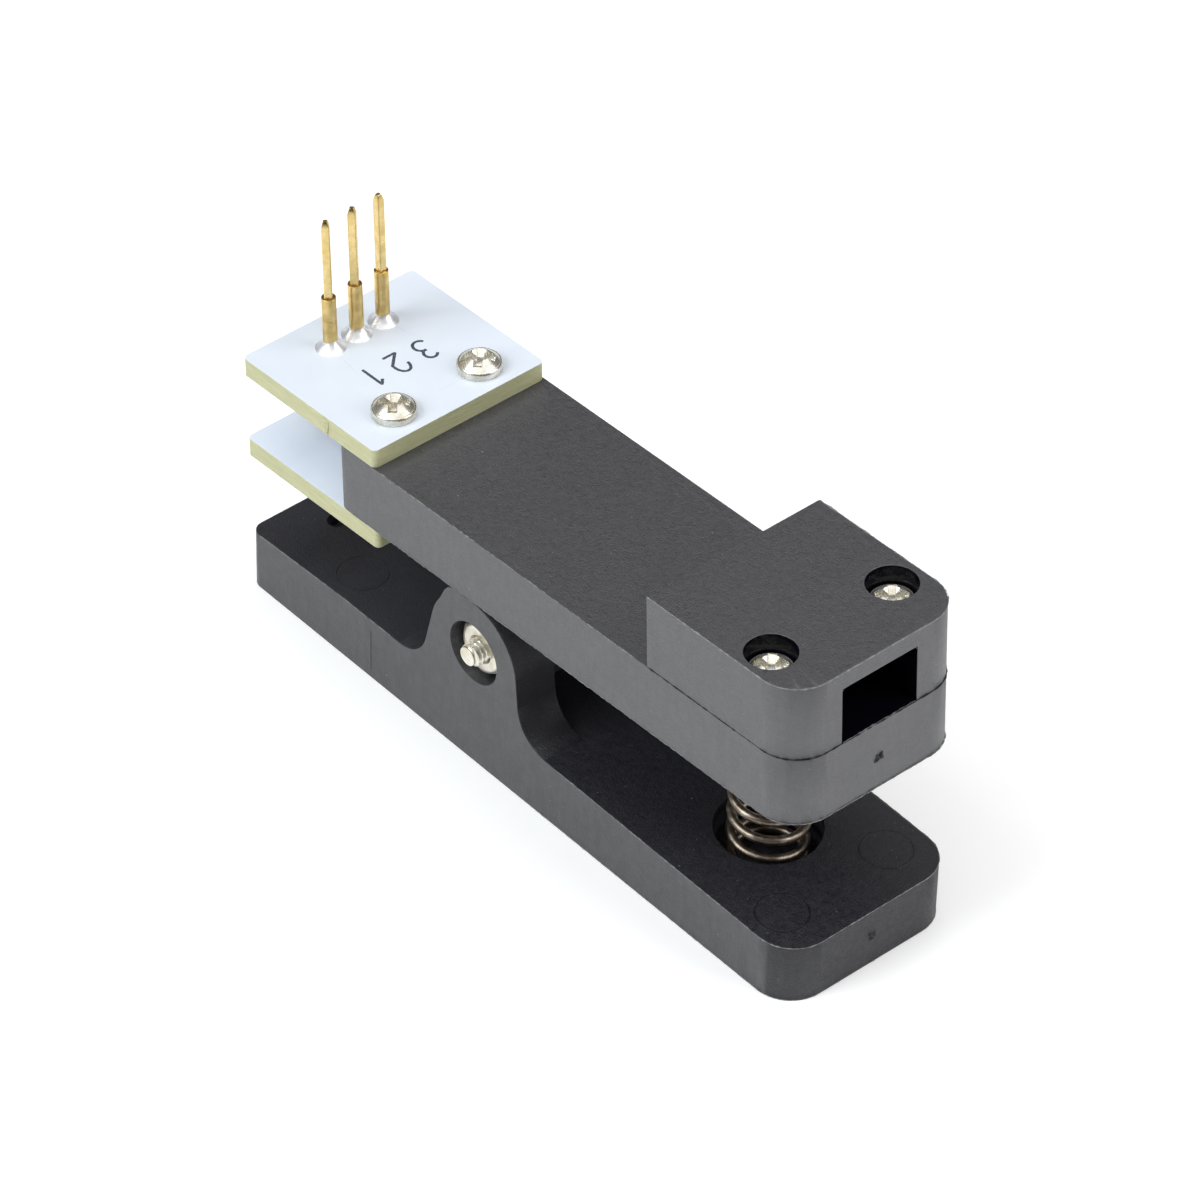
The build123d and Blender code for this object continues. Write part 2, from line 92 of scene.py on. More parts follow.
class Finish:
    """A material in the making, on the clip's own coordinates in metres."""

    def __init__(self, name, constants):
        self.material = bpy.data.materials.new(name)
        self.material.use_nodes = True
        self.tree = self.material.node_tree
        self.shader = self.tree.nodes["Principled BSDF"]
        self.place = self.node("ShaderNodeTexCoord", output="Object")
        for socket, value in constants.items():
            self.shader.inputs[socket].default_value = value

    def node(self, kind, settings=None, inputs=None, output=0):
        """Add a node of this kind: its settings, then values or links for its sockets; gives one output."""
        node = self.tree.nodes.new(kind)
        for key, value in (settings or {}).items():
            setattr(node, key, value)
        for key, value in (inputs or {}).items():
            self.feed(node.inputs[key], value)
        return Shade(self, node.outputs[output])

    def feed(self, socket, value):
        if isinstance(value, Shade):
            self.tree.links.new(value.socket, socket)
        else:
            socket.default_value = value

    def noise(self, size, detail=2.0, stretch=(1.0, 1.0, 1.0), roughness=0.5):
        """Noise from 0 to 1 with features of this size in millimetres, drawn out along an axis by stretch."""
        where = self.node("ShaderNodeMapping", {}, {"Vector": self.place, "Scale": stretch})
        inputs = {"Vector": where, "Scale": 1000.0 / size, "Detail": detail, "Roughness": roughness}
        return self.node("ShaderNodeTexNoise", {}, inputs)

    def rise(self, value, low, high):
        """0 below low and 1 above high, with a smooth rise between."""
        inputs = {"Value": value, "From Min": low, "From Max": high}
        return self.node("ShaderNodeMapRange", {"interpolation_type": "SMOOTHSTEP"}, inputs)

    def along(self, direction, start=0.0):
        """Distance along a direction in millimetres, from a start."""
        dot = {0: self.place, 1: direction}
        return self.node("ShaderNodeVectorMath", {"operation": "DOT_PRODUCT"}, dot, "Value") * 1000.0 - start

    def within(self, distance, limit):
        """1 where a distance is under a limit, and 0 beyond it."""
        return 1.0 - self.rise(distance, limit, limit + 0.02)

    def specks(self, size, radius, share):
        """Soft dots of this radius, one at most per cell of this size, in a share of the cells."""
        inputs = {"Vector": self.place, "Scale": 1000.0 / size}
        distance = self.node("ShaderNodeTexVoronoi", {}, inputs, "Distance")
        colour = self.node("ShaderNodeTexVoronoi", {}, inputs, "Color")
        lot = self.node("ShaderNodeSeparateXYZ", {}, {0: colour}, "X")
        chosen = self.rise(lot, 1.0 - share, 1.0 - share + 0.01)
        return chosen * (1.0 - self.rise(distance, 0.4 * radius / size, radius / size))

    def mix(self, share, first, second):
        """A colour between two others, which sockets 6 and 7 take, with the result on output 2."""
        inputs = {0: share, 6: first, 7: second}
        return self.node("ShaderNodeMix", {"data_type": "RGBA"}, inputs, 2)

    def colour(self, value):
        self.feed(self.shader.inputs["Base Color"], value)

    def roughness(self, value):
        self.feed(self.shader.inputs["Roughness"], value)

    def relief(self, height, depth):
        """Bump the surface by a height from 0 to 1, its depth in millimetres."""
        inputs = {"Height": height, "Distance": depth * 0.001, "Strength": 1.0}
        self.feed(self.shader.inputs["Normal"], self.node("ShaderNodeBump", {}, inputs, "Normal"))


def moulded_plastic(name, dark, light, shine, skin=None, painted_shade=None):
    """Black nylon as it leaves the mould: cloudy grey, a fine grain, drag marks where the part slid up the
    mould's walls, and flakes. The skin shines unevenly, which is a thin coat whose weight varies. Skin is a
    function of the finish, 1 where the coat lies. The last argument is another, 1 in hollows, where a
    near-black nylon that hardly reflects is mixed in as painted shade."""
    finish = Finish(name, {"IOR": 1.6, "Specular IOR Level": shine, "Coat Roughness": 0.5, "Coat IOR": 1.7})
    cloud = finish.noise(5.0, 4.0)
    mottle = finish.rise(finish.noise(0.42, 3.0), 0.3, 0.7)
    grain = finish.rise(finish.noise(0.14, 2.0, roughness=0.6), 0.3, 0.7)
    drag = finish.rise(finish.noise(0.25, 2.0, (0.08, 1.0, 1.0)), 0.62, 0.8)
    scuff = drag * finish.rise(finish.noise(2.2, 2.0), 0.5, 0.68)
    flakes = finish.specks(0.7, 0.055, 0.4) + finish.specks(2.3, 0.1, 0.45)
    body = finish.mix(0.25 * cloud + 0.3 * mottle + 0.45 * grain, dark, light)
    worn = finish.mix(0.3 * scuff, body, (0.06, 0.06, 0.065, 1.0))
    flaked = finish.mix(0.5 * flakes, worn, (0.3, 0.3, 0.31, 1.0))
    streak = finish.rise(finish.noise(0.55, 3.0, (1.0, 1.0, 0.15)), 0.25, 0.75)
    blotch = finish.rise(finish.noise(0.8, 3.0), 0.3, 0.7)
    rough = 0.4 + 0.06 * cloud + 0.1 * mottle + 0.12 * grain + 0.1 * scuff
    coat = 0.25 + 0.1 * streak + 0.08 * blotch + 0.12 * mottle
    if skin:
        coat = 1.3 * coat * skin(finish)
    # Painted shade: in hollows a near-black nylon that hardly reflects is mixed in over the grained skin.
    if painted_shade:
        bore = {"Base Color": dark, "Roughness": 0.2, "IOR": 1.5, "Specular IOR Level": 0.2}
        smooth = finish.node("ShaderNodeBsdfPrincipled", {}, bore)
        grained = Shade(finish, finish.shader.outputs["BSDF"])
        both = finish.node("ShaderNodeMixShader", {}, {0: painted_shade(finish), 1: grained, 2: smooth})
        finish.feed(finish.tree.nodes["Material Output"].inputs["Surface"], both)
    finish.colour(flaked)
    finish.roughness(rough)
    finish.feed(finish.shader.inputs["Coat Weight"], coat)
    finish.relief(0.8 * grain + 0.5 * mottle + 1.2 * flakes, 0.022)
    return finish.material


def soften_edges(node, width, harden=True):
    """Join a solid's triangles and bevel every edge sharper than 30 degrees, width in millimetres."""
    joined = node.modifiers.new("joined", "WELD")
    joined.merge_threshold = 1e-6
    bevel = node.modifiers.new("soft_edges", "BEVEL")
    bevel.width = width * 0.001
    bevel.segments = 2
    bevel.limit_method = "ANGLE"
    bevel.angle_limit = radians(30)
    bevel.harden_normals = harden


def dress(node, material):
    """Give a carried-over piece its finish."""
    for place in node.material_slots:
        place.material = material


nylon_dark = (0.0025, 0.0024, 0.005, 1.0)
nylon_light = (0.0125, 0.0118, 0.019, 1.0)
half_width = 8.25
pivot_height = 10.6
recess_radius = 2.7


def lower_skin(finish):
    """The lower arm shines on its flanks and in the round recess, and its other faces are duller."""
    flank = finish.rise(abs(finish.along((0, 1, 0))), half_width - 0.15, half_width - 0.05)
    across = finish.along((1, 0, 0))
    up = finish.along((0, 0, 1), pivot_height)
    return flank.larger(finish.within(across * across + up * up, recess_radius**2))


lower_nylon = moulded_plastic("lower_arm_nylon", nylon_dark, nylon_light, 0.52, lower_skin)
dress(lower_arm, lower_nylon)
soften_edges(lower_arm, arm_edge)

# Marks of the mould on the lower arm: three rings round the ejector pins, a line where two mould blocks
# met on the near flank, the torn gate in the middle of the nose, and threads of flash along the edges. All
# are nylon. The rings, the line and the gate are near-black. On the line this is painted shade, standing
# for the shadow in the step where the blocks met. The flash is pale where it tore.
jaw_face = ((-26.4, 5.2), (-15.2, 5.73), (-8.9, 5.73))
handle_face = ((8.4, 5.6), (35.1, 5.2))
ejector_marks = ((31.0, 5.0, handle_face), (31.1, -5.3, handle_face), (-16.5, -5.3, jaw_face))
ejector_radius = 2.0
ejector_ridge = (0.07, 0.04)
parting_x = -11.9
parting_foot, parting_top = 0.6, 4.75
parting_width, parting_height = 0.05, 0.02
nose_x = 35.1
corner_radius = 3.2
gate_radius = 0.48
lower_gate_level, lower_gate_rise = 2.7, 0.2
flash_size = 0.045
flank_start, bottom_start = 9.6, 6.0


def add_piece(name, grids, body, slot, material, replaced=()):
    """Make one mesh from grids of points in millimetres. Four neighbouring points of a grid make a face,
    points that coincide are merged, which closes seams and poles, and the faces are turned outwards. Edges
    of more than 32 degrees stay sharp."""
    points, faces, start = [], [], 0
    for grid in grids:
        rows, columns = grid.shape[:2]
        index = start + np.arange(rows * columns).reshape(rows, columns)
        corners = (index[:-1, :-1], index[:-1, 1:], index[1:, 1:], index[1:, :-1])
        faces.append(np.stack(corners, -1).reshape(-1, 4))
        points.append(grid.reshape(-1, 3) * 0.001)
        start += rows * columns
    mesh = bpy.data.meshes.new(name)
    mesh.from_pydata(np.concatenate(points), [], np.concatenate(faces))
    tidy = bmesh.new()
    tidy.from_mesh(mesh)
    bmesh.ops.remove_doubles(tidy, verts=tidy.verts, dist=2e-8)
    bmesh.ops.recalc_face_normals(tidy, faces=tidy.faces)
    tidy.to_mesh(mesh)
    tidy.free()
    mesh.polygons.foreach_set("use_smooth", np.ones(len(mesh.polygons), bool))
    mesh.set_sharp_from_angle(angle=radians(32))
    mesh.materials.append(material)
    piece = bpy.data.objects.new(name, mesh)
    bpy.context.scene.collection.objects.link(piece)
    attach(piece, body)
    if replaced:
        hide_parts(*replaced)
    return piece


upward = np.array([0, 0, 1.0])


def tube(path, across, up, width, height, sides=8):
    """Points of an oval bar round a path: path + across * width * cos(angle) + up * height * sin(angle).
    Width and height are one number or one per point of the path, and both ends close to a point."""
    angle = np.linspace(0, 2 * pi, sides + 1)
    width = np.broadcast_to(width, len(path)) * np.r_[0, np.ones(len(path) - 2), 0]
    height = np.broadcast_to(height, len(path)) * np.r_[0, np.ones(len(path) - 2), 0]
    sideways = width[:, None, None] * across.reshape(-1, 1, 3) * np.cos(angle)[:, None]
    upwards = height[:, None, None] * up.reshape(-1, 1, 3) * np.sin(angle)[:, None]
    return path[:, None, :] + sideways + upwards


def ring(x, y, face, radius, width, height):
    """Points of a ridge round a circle on a sloping face: the height follows the face's own line."""
    turn, angle = np.meshgrid(np.linspace(0, 2 * pi, 97), np.linspace(0, 2 * pi, 9), indexing="ij")
    out = radius + width * np.cos(angle)
    along = x + out * np.cos(turn)
    level = np.interp(along, *np.transpose(face))
    return np.stack([along, y + out * np.sin(turn), level + height * np.sin(angle)], -1)


def gate_scar(x, z, height, seed):
    """Points of a torn pip in the middle plane, on a face that looks along +X: a bump whose edge and top
    wander with the angle."""
    rng = np.random.default_rng(seed)
    waves = rng.uniform(-1, 1, (4, 2))
    share, turn = np.meshgrid(np.linspace(0, 1, 9), np.linspace(0, 2 * pi, 33), indexing="ij")
    wander = sum(a * np.cos(n * turn) + b * np.sin(n * turn) for n, (a, b) in enumerate(waves, 2))
    out = gate_radius * share * (1 + 0.12 * wander)
    rise = height * (1 - share**2) * (1 + 0.35 * wander * share) - 0.03
    return np.stack([x + rise, out * np.cos(turn), z + out * np.sin(turn)], -1)


def evened(path, count=None):
    """A path's points spaced evenly, by default 0.09 mm apart: how far along it each one is, the point, and
    the level direction square to the path there."""
    far = np.r_[0, np.cumsum(np.linalg.norm(np.diff(path, axis=0), axis=1))]
    even = np.linspace(0, far[-1], count or int(far[-1] / 0.09))
    line = np.stack([np.interp(even, far, path[:, i]) for i in range(3)], -1)
    ahead = np.gradient(line, axis=0)
    ahead /= np.linalg.norm(ahead, axis=1)[:, None]
    return even, line, np.cross(ahead, upward)


def flash(path, size, seed):
    """Points of the torn thread of plastic that a mould leaves along an edge: a bar along the path, thick
    where smoothed random numbers are high and almost nothing between, and shifted a little by others."""
    rng = np.random.default_rng(seed)
    even, line, across = evened(path)
    blur = np.hanning(7) / np.hanning(7).sum()
    swell = np.convolve(rng.uniform(0, 1, len(even)) ** 2, blur, "same")
    sway = np.convolve(rng.uniform(-1, 1, len(even)), blur, "same")
    thick = size * (0.2 + 1.6 * swell)
    return tube(line + 0.3 * size * sway[:, None] * across, across, upward, thick, thick, 6)


def nose_rim(start_x, level):
    """The line round a nose's edge, from a start on the near flank to the same on the far one: two straight
    flanks, the nose and an arc of the corner radius at each side."""
    bend = np.linspace(0, pi / 2, 12)
    x = nose_x - corner_radius + corner_radius * np.sin(bend)
    y = half_width - corner_radius + corner_radius * np.cos(bend)
    x, y = np.r_[start_x, x, x[::-1], start_x], np.r_[-half_width, -y, y[::-1], half_width]
    return np.stack([x, y, np.full(len(x), level)], -1)


# Near-black nylon: painted shade on the parting line and the cover's seam, and the dark of rings and gates.
mark_and_shade_nylon = moulded_plastic("mark_and_shade_nylon", (0.001, 0.001, 0.001, 1.0), nylon_dark, 0.15)
rings = [ring(x, y, face, ejector_radius, *ejector_ridge) for x, y, face in ejector_marks]
add_piece("ejector_rings", rings, "lower", "arm_plastic", mark_and_shade_nylon)
# Painted shade: the near-black bar stands for the shadow in the step where the mould blocks met.
parting = np.linspace((parting_x, -half_width, parting_foot), (parting_x, -half_width, parting_top), 24)
parting_line = tube(parting, np.array([1.0, 0, 0]), np.array([0, 1.0, 0]), parting_width, parting_height)
add_piece("parting_line", [parting_line], "lower", "arm_plastic", mark_and_shade_nylon)
torn_nylon = moulded_plastic("torn_nylon", (0.01, 0.01, 0.01, 1.0), (0.25, 0.25, 0.26, 1.0), 0.95)
top_rim = nose_rim(flank_start, 0)
top_rim[:, 2] = np.interp(top_rim[:, 0], *np.transpose(handle_face))
jaw_edge = np.array([(-26.37, -7.0, 5.17), (-26.37, 7.0, 5.17)])
jaw_flank = np.array([(-25.2, -8.24, 5.24), (-15.2, -8.24, 5.71), (-9.6, -8.24, 5.71)])
edges = (top_rim, nose_rim(bottom_start, 0.06), jaw_edge, jaw_flank)
flashes = [flash(edge, flash_size, seed) for seed, edge in enumerate(edges, 11)]
add_piece("lower_arm_flash", flashes, "lower", "arm_plastic", torn_nylon)
lower_scar = gate_scar(nose_x, lower_gate_level, lower_gate_rise, 3)
add_piece("lower_gate_scar", [lower_scar], "lower", "arm_plastic", mark_and_shade_nylon)

# Pivot screw and nut: an M2 steel machine screw, its nickel plating a little yellowed, put in from the far
# side through both ears and the upper arm's lug. The nut sits in the near ear's round recess, and the screw's
# cut end stands out of it.
pivot_head_seat = 5.5
pivot_end = -8.85
nut_seat = -6.0
nut_flats = 4.0
nut_thickness = 1.6
nut_face_radius = 1.875
nut_bore = 0.98
nut_mouth = 1.2
pivot_screw = dict(shank=1.0, tip=0.1, head=1.9, height=1.5, crown=0.75, thread=0.26, pitch=0.4)


def placed(points, origin, x_dir, z_dir):
    """Points of a piece's own frame moved to the clip: origin + x along x_dir + z along z_dir, and y along
    the cross product of the two, z_dir first."""
    return points @ np.array([x_dir, np.cross(z_dir, x_dir), z_dir], float) + origin


def rounded(corners, radius, steps=5):
    """An outline with each inner corner eased: a quadratic curve from a point before it to one after it,
    each at the radius from the corner or at 0.45 of that side, and the corner as the curve's control."""
    corners = np.array(corners, float)
    before, at, after = corners[:-2], corners[1:-1], corners[2:]
    share_in = np.minimum(radius / np.linalg.norm(before - at, axis=1), 0.45)[:, None]
    share_out = np.minimum(radius / np.linalg.norm(after - at, axis=1), 0.45)[:, None]
    first = at + (before - at) * share_in
    last = at + (after - at) * share_out
    t = np.linspace(0, 1, steps)[:, None, None]
    curve = (1 - t) ** 2 * first + 2 * t * (1 - t) * at + t**2 * last
    return np.concatenate([corners[:1], curve.transpose(1, 0, 2).reshape(-1, 2), corners[-1:]])


def turned(outline, segments):
    """Points of a turned shape: each radius and height of the outline carried round the z axis."""
    angle = np.linspace(0, 2 * pi, segments + 1)
    radius, height = np.array(outline, float).T[:, :, None]
    return np.stack([radius * np.cos(angle), radius * np.sin(angle), height + 0 * angle], -1)


def cross_recess(x, y, reach, width, depth):
    """Depth of a cross recess at a point: along each arm the floor falls from its end to the middle, the
    walls lean a little, the deeper arm counts, and a small cone in the middle goes deeper still."""
    def arm(along, across):
        floor = np.clip((reach - np.abs(along)) / (0.55 * reach), 0, 1) ** 0.7
        wall = np.clip((width / 2 + 0.04 - np.abs(across)) / 0.08, 0, 1)
        return depth * np.minimum(floor, wall)

    pit = depth * np.clip(1.25 - np.hypot(x, y) / (0.5 * reach), 0, 1)
    return np.maximum(np.maximum(arm(x, y), arm(y, x)), pit)


def pan_screw(length, turn, smooth_shank, shank, tip, head, height, crown, thread, pitch):
    """Points of a pan head screw on the z axis, its seat at height 0 and its tip below. The rows go from
    the tip to the middle of the crown. Thread: the radius rises and falls with height / pitch - angle.
    Head: a sunk cross in a dome, whose height is rim + crown * (1 - share of the radius, to the 2.4)."""
    angle = np.linspace(0, 2 * pi, 129)
    rows = int((length - smooth_shank) / pitch * 14)
    level = np.linspace(-length + tip, -smooth_shank, rows)[:, None]
    phase = (level / pitch - angle / (2 * pi)) % 1
    ridge = np.clip(2.6 * np.abs(phase - 0.5) - 0.25, 0, 1)
    fade = np.clip((level + length - tip) / (0.5 * pitch), 0.35, 1)
    fade = fade * np.clip((-smooth_shank - level) / pitch, 0, 1)
    threaded = shank - thread * (1 - ridge * fade)
    end = np.array([[0, -length], [0.5 * (shank - tip), -length], [shank - tip - thread / 2, -length]])
    rim = height - crown
    root = shank - thread
    side = rounded([(root, -smooth_shank), (root, 0), (head, 0), (head, 0.75 * rim)], 0.08)
    bend = np.linspace(0, pi / 2, 12)[1:, None]
    corner = 0.12 * head
    bend_out = head - corner * (1 - np.cos(bend))
    bend_up = 0.75 * rim + (0.25 * rim + 0.12) * np.sin(bend)
    share = np.linspace(1, 0, 90)[1:, None]
    out = (head - corner) * share
    dome = rim + 0.12 + (crown - 0.12) * (1 - share**2.4)
    x, y = out * np.cos(angle - turn), out * np.sin(angle - turn)
    dome = dome - cross_recess(x, y, 0.7 * head, 0.58, 0.7)
    around = 0 * angle
    radius = [end[:, :1] + around, threaded, side[:, :1] + around, bend_out + around, out + around]
    height = [end[:, 1:] + around, level + around, side[:, 1:] + around, bend_up + around, dome]
    radius, height = np.concatenate(radius), np.concatenate(height)
    return np.stack([radius * np.cos(angle), radius * np.sin(angle), height], -1)


def hex_nut(flats, thickness, face_radius, bore, mouth):
    """Points of a hexagon nut on the z axis, its seat at height 0. The outside radius at an angle is half
    the flats over the cosine of the angle from the flat's middle, and a cone of 30 degrees takes the
    corners off both faces. The bore opens in a small cone at each face."""
    angle = np.linspace(0, 2 * pi, 193)
    hexagon = flats / 2 / np.cos((angle + pi / 6) % (pi / 3) - pi / 6)
    bevel = (hexagon - face_radius) * np.tan(radians(30))
    ones = np.ones_like(angle)
    rows = [(bore * ones, (mouth - bore) * ones), (mouth * ones, 0 * ones)]
    rows += [(r * ones, 0 * ones) for r in np.linspace(mouth, face_radius, 5)[1:]]
    rows += [(face_radius + (hexagon - face_radius) * t, bevel * t) for t in (0.25, 0.5, 0.75, 1)]
    rows += [(hexagon, bevel + (thickness / 2 - bevel) * t) for t in (0.1, 0.5, 1.0)]
    rows = rows + [(r, thickness - z) for r, z in rows[-2::-1]] + [(bore * ones, (mouth - bore) * ones)]
    radius, height = np.array(rows).transpose(1, 0, 2)
    return np.stack([radius * np.cos(angle), radius * np.sin(angle), height], -1)


def plated_metal(name, bright, dull, roughness, scratch):
    """A plated turned part: two tones in soft clouds, fine scratches and a trace of grime."""
    finish = Finish(name, {"Metallic": 0.8})
    cloud = finish.noise(1.2, 3.0)
    fine = finish.noise(0.08, 2.0)
    lines = finish.rise(finish.noise(0.12, 2.0, (0.15, 1.0, 0.6)), 0.58, 0.72)
    finish.colour(finish.mix(finish.rise(cloud, 0.35, 0.7), bright, dull))
    finish.roughness(roughness + 0.12 * cloud + 0.1 * fine * lines)
    finish.relief(scratch * lines + 0.3 * fine + 0.4 * cloud, 0.006)
    return finish.material


nickel = plated_metal("nickel_plate", (0.8, 0.78, 0.71, 1.0), (0.6, 0.56, 0.46, 1.0), 0.19, 0.4)
aged_nickel = plated_metal("aged_nickel_plate", (0.84, 0.81, 0.71, 1.0), (0.6, 0.54, 0.4, 1.0), 0.26, 0.4)
pivot_length = pivot_head_seat - pivot_end
pivot_points = pan_screw(length=pivot_length, turn=0.3, smooth_shank=6.0, **pivot_screw)
pivot_grid = placed(pivot_points, (0, pivot_head_seat, pivot_height), (1, 0, 0), (0, 1, 0))
pivot_look = ("lower", "nickel_screw", aged_nickel)
add_piece("threaded_pivot_screw", [pivot_grid], *pivot_look, replaced=["pivot_screw"])
nut_points = hex_nut(nut_flats, nut_thickness, nut_face_radius, nut_bore, nut_mouth)
nut_grid = placed(nut_points, (0, nut_seat, pivot_height), (1, 0, 0), (0, -1, 0))
add_piece("bevelled_nut", [nut_grid], *pivot_look, replaced=["pivot_nut"])

# Upper arm: a straight bar of the same nylon, which turns on the pivot screw with the lug between the ears.
# It leans 2.8 degrees, handle end up, when the jaws are closed. Its nose carries its own gate scar.
upper_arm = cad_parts["upper_arm"]
lean = radians(2.8)
arm_along = (cos(lean), 0, sin(lean))
arm_normal = (-sin(lean), 0, cos(lean))
arm_underside, arm_top = 4.9, 10.85
upper_gate_level, upper_gate_rise = 7.6, 0.18
channel_half = 3.56
channel_start = 19.5
channel_roof = 15.81


def in_channel(finish):
    """The channel under the cover, on its walls and on the arm's top, where painted shade goes: a plain box
    in the arm's own frame.
    """
    level = finish.along(arm_normal, pivot_height * cos(lean))
    middle = (arm_top + channel_roof) / 2
    sides = finish.within(abs(finish.along((0, 1, 0))), channel_half)
    heights = finish.within(abs(level - middle), (channel_roof - arm_top) / 2 + 0.02)
    reach = finish.along(arm_along, pivot_height * sin(lean))
    return sides * heights * finish.rise(reach, channel_start, channel_start + 0.1)


# Painted shade: the channel under the cover gets the near-black, weakly reflecting nylon.
upper_nylon = moulded_plastic("upper_arm_nylon", nylon_dark, nylon_light, 0.95, painted_shade=in_channel)
dress(upper_arm, upper_nylon)
soften_edges(upper_arm, arm_edge)


def on_arm(points):
    """Points of the upper arm's frame, along, across and square to it from the pivot axis."""
    return placed(points, (0, 0, pivot_height), arm_along, arm_normal)


upper_scar = on_arm(gate_scar(nose_x - 0.05, upper_gate_level, upper_gate_rise, 5))
add_piece("upper_gate_scar", [upper_scar], "upper", "arm_plastic", mark_and_shade_nylon)
underside_rim = nose_rim(-14.0, arm_underside + 0.03)
top_edge = np.array([(-10.5, -8.23, 10.83), (19.4, -8.23, 10.83)])
window_sill = np.array([(35.02, -3.5, 10.86), (35.02, 3.5, 10.86)])
edges = ((underside_rim, flash_size), (top_edge, 0.04), (window_sill, 0.09))
flashes = [on_arm(flash(edge, size, seed)) for seed, (edge, size) in enumerate(edges, 21)]
add_piece("upper_arm_flash", flashes, "upper", "arm_plastic", torn_nylon)

# Main spring: a coil of oiled spring steel wire between the handles, standing in a round pocket in each.
# It is wound left-handed, with its end turns closed and ground flat.
spring_centre = 23.7
spring_floor = 1.821
spring_roof = 20.065
spring_wire = 0.7
spring_radius = 2.8
spring_turns = 10.9
spring_closed_rise = 0.62
spring_first_angle = -29.84


def wound(turns, rise_closed, height, radius, wire, first_angle, steps=72, sides=14):
    """Points of a left-handed coil. The angle falls by a turn per turn. The height is the running sum of a
    pitch that eases from the closed rise at both ends to the open pitch, which makes up the full height.
    Each ring is the wire's circle in the plane of the radius and the direction square to the wire."""
    t = np.linspace(0, turns, int(turns * steps) + 1)
    ease = np.clip(np.minimum(t, turns - t) - 0.75, 0, 0.5) * 2
    ease = ease * ease * (3 - 2 * ease)
    open_share = np.sum((ease[1:] + ease[:-1]) / 2 * np.diff(t))
    open_rise = (height - wire - rise_closed * turns) / open_share
    pitch = rise_closed + open_rise * ease
    level = wire / 2 + np.r_[0, np.cumsum((pitch[1:] + pitch[:-1]) / 2 * np.diff(t))]
    angle = radians(first_angle) - 2 * pi * t
    outward = np.stack([np.cos(angle), np.sin(angle), 0 * angle], -1)
    ahead = np.stack([2 * pi * radius * np.sin(angle), -2 * pi * radius * np.cos(angle), pitch], -1)
    ahead /= np.linalg.norm(ahead, axis=1)[:, None]
    square = np.cross(outward, ahead)
    path = outward * radius + np.stack([0 * t, 0 * t, level], -1)
    rings = tube(path, outward, square, wire / 2, wire / 2, sides)
    rings[..., 2] = np.clip(rings[..., 2], 0.1 * wire, height - 0.1 * wire)
    return rings


def spring_steel(name):
    """Oil-tempered wire: dark bronze with bright rubbed streaks and faint drawing lines."""
    finish = Finish(name, {"Metallic": 1.0})
    cloud = finish.noise(0.9, 3.0)
    lines = finish.noise(0.06, 2.0, (1.0, 1.0, 3.0))
    rubbed = finish.rise(finish.noise(0.7, 2.0, (1.0, 1.0, 1.6)), 0.45, 0.7)
    metal = finish.mix(cloud, (0.16, 0.125, 0.09, 1.0), (0.3, 0.25, 0.2, 1.0))
    finish.colour(finish.mix(0.6 * rubbed, metal, (0.6, 0.53, 0.45, 1.0)))
    finish.roughness(0.27 + 0.14 * cloud + 0.06 * lines)
    finish.relief(0.6 * lines + 0.4 * cloud, 0.008)
    return finish.material


spring_height = spring_roof - spring_floor
coil = wound(spring_turns, spring_closed_rise, spring_height, spring_radius, spring_wire, spring_first_angle)
coil_grid = placed(coil, (spring_centre, 0, spring_floor), (1, 0, 0), (0, 0, 1))
wire_steel = spring_steel("oiled_spring_steel")
spring = add_piece("wound_spring", [coil_grid], "lower", "spring_steel", wire_steel, replaced=["main_spring"])
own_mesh(spring)

# Cable cover: a nylon block on the upper arm's handle end, with a square channel for the lead's wires and
# two counterbores. It is screwed down from above with two self-tapping screws, and a near-black thread along
# its seam is painted shade.
cable_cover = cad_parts["cable_cover"]
cover_start = 19.6
cover_top = 17.35
cover_seat = 15.2
seam_edge = 0.07
cover_flash_size, seam_shade_size = 0.055, 0.06
counterbore_radius = 1.97
cover_screw_places = ((30.0, -5.75), (30.0, 5.75))
cover_screw_length = 8.0
cover_screw_turns = (0.75, 0.82)


def in_cover(finish):
    """The channel and the two counterbores, where painted shade goes. A counterbore's distance is taken from
    the nearer screw's axis.
    """
    along = finish.along(arm_along, pivot_height * sin(lean) + cover_screw_places[1][0])
    across = abs(finish.along((0, 1, 0))) - cover_screw_places[1][1]
    bore = finish.within(along * along + across * across, counterbore_radius**2)
    return bore.larger(in_channel(finish))


# Painted shade: the channel and the counterbores get the near-black, weakly reflecting nylon.
cover_nylon = moulded_plastic("cable_cover_nylon", nylon_dark, nylon_light, 0.95, painted_shade=in_cover)
dress(cable_cover, cover_nylon)
soften_edges(cable_cover, seam_edge)
cover_flash = on_arm(flash(nose_rim(cover_start, cover_top - 0.01), cover_flash_size, 31))
add_piece("cable_cover_flash", [cover_flash], "upper", "arm_plastic", torn_nylon)
# Painted shade: a near-black thread along the seam between the cover and the arm.
seam_shade = on_arm(flash(nose_rim(cover_start, arm_top + 0.03), seam_shade_size, 32))
add_piece("cable_cover_seam", [seam_shade], "upper", "arm_plastic", mark_and_shade_nylon)
small_screw = dict(shank=0.95, tip=0.3, head=1.75, height=1.35, crown=0.75, thread=0.22, pitch=0.7)


def small_screws(name, places, seat, length, up, turns, node):
    """Two nickel plated self-tapping pan head screws of one length in place of a node, seated at a level of
    the upper arm. Up is 1 where the heads look up and -1 where they look down."""
    grids = []
    for (x, y), turn in zip(places, turns):
        points = pan_screw(length=length, turn=turn, smooth_shank=0.4, **small_screw) * (1, up, up)
        grids.append(on_arm(points + (x, y, seat)))
    add_piece(name, grids, "upper", "nickel_screw", nickel, replaced=[node])


cover_screws = (cover_screw_places, cover_seat, cover_screw_length, 1, cover_screw_turns)
small_screws("cross_head_cover_screws", *cover_screws, "cover_screws")

